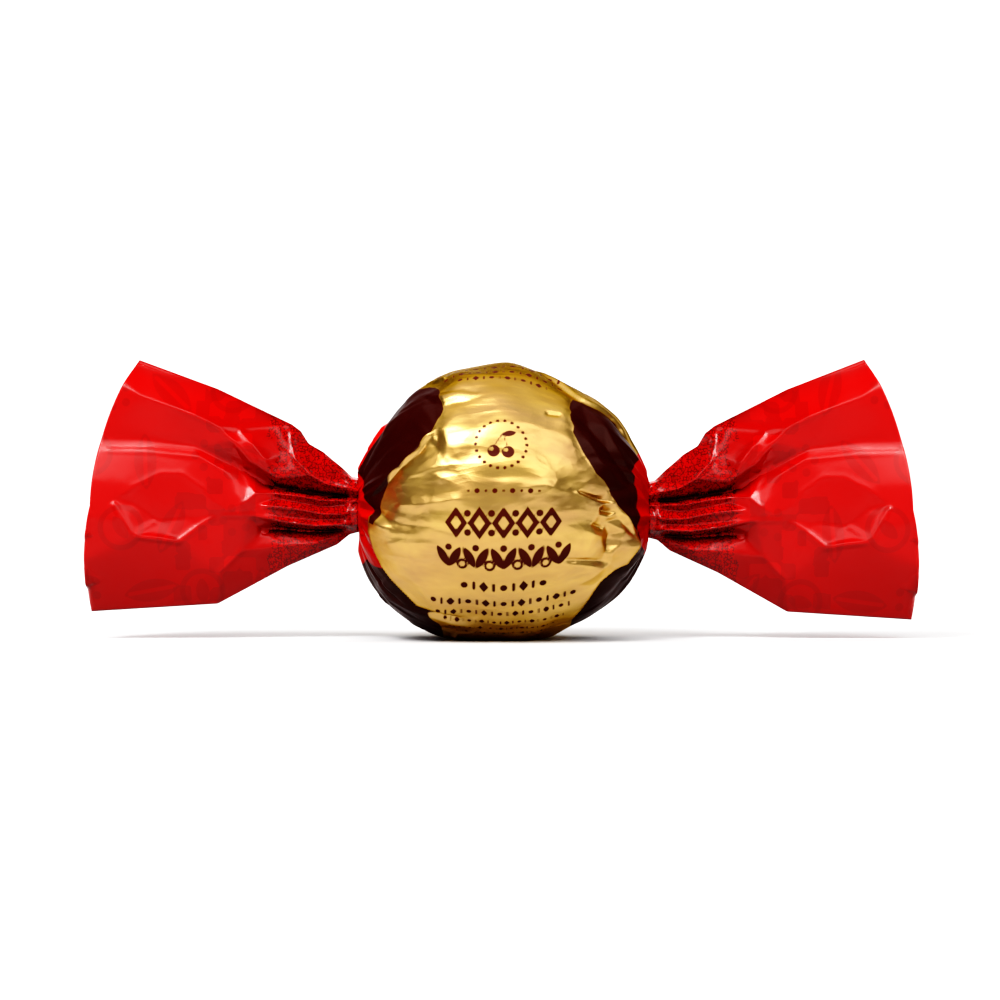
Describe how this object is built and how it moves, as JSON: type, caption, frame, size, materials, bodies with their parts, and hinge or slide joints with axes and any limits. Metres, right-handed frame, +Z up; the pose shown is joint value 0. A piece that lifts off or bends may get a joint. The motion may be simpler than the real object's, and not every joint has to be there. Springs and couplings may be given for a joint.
{
  "type": "twist-wrapped chocolate truffle",
  "caption": "Round chocolate truffle shut in a gold, brown and red film wrapper, gathered at both sides and flared into flat open fans.",
  "frame": {"origin": "middle of the small flat spot that the wrapped ball stands on", "axes": "+X from the left fan to the right fan as the label is seen, +Z up, the label facing -Y"},
  "size_m": [0.1075, 0.036, 0.0364],
  "materials": {
    "wrapped_truffle": "gloss"
  },
  "bodies": {
    "root": {"wrapped_truffle": "wrapped_truffle"}
  },
  "joints": []
}
